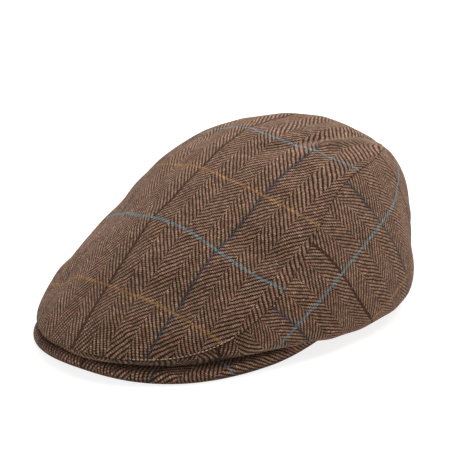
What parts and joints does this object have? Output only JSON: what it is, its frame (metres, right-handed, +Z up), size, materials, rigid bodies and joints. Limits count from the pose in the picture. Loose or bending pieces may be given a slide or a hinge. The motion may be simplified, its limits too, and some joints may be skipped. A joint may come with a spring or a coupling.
{
  "type": "flat cap",
  "caption": "Rounded flat cap in herringbone tweed, with a low dished crown over a short stiff peak and an open oval for the head.",
  "frame": {"origin": "middle of the head opening, in the plane that the rim rests on", "axes": "-Y to the front, where the peak points, +X to the wearer's left, +Z up"},
  "size_m": [0.2076, 0.2586, 0.1049],
  "materials": {
    "crown_tweed": "brushed brown herringbone tweed with a thin coloured overcheck",
    "peak_tweed": "the same tweed drawn tight over a stiff board"
  },
  "bodies": {
    "root": {"top_panel": "crown_tweed", "side_panel_left": "crown_tweed", "side_panel_right": "crown_tweed", "peak": "peak_tweed"}
  },
  "joints": []
}
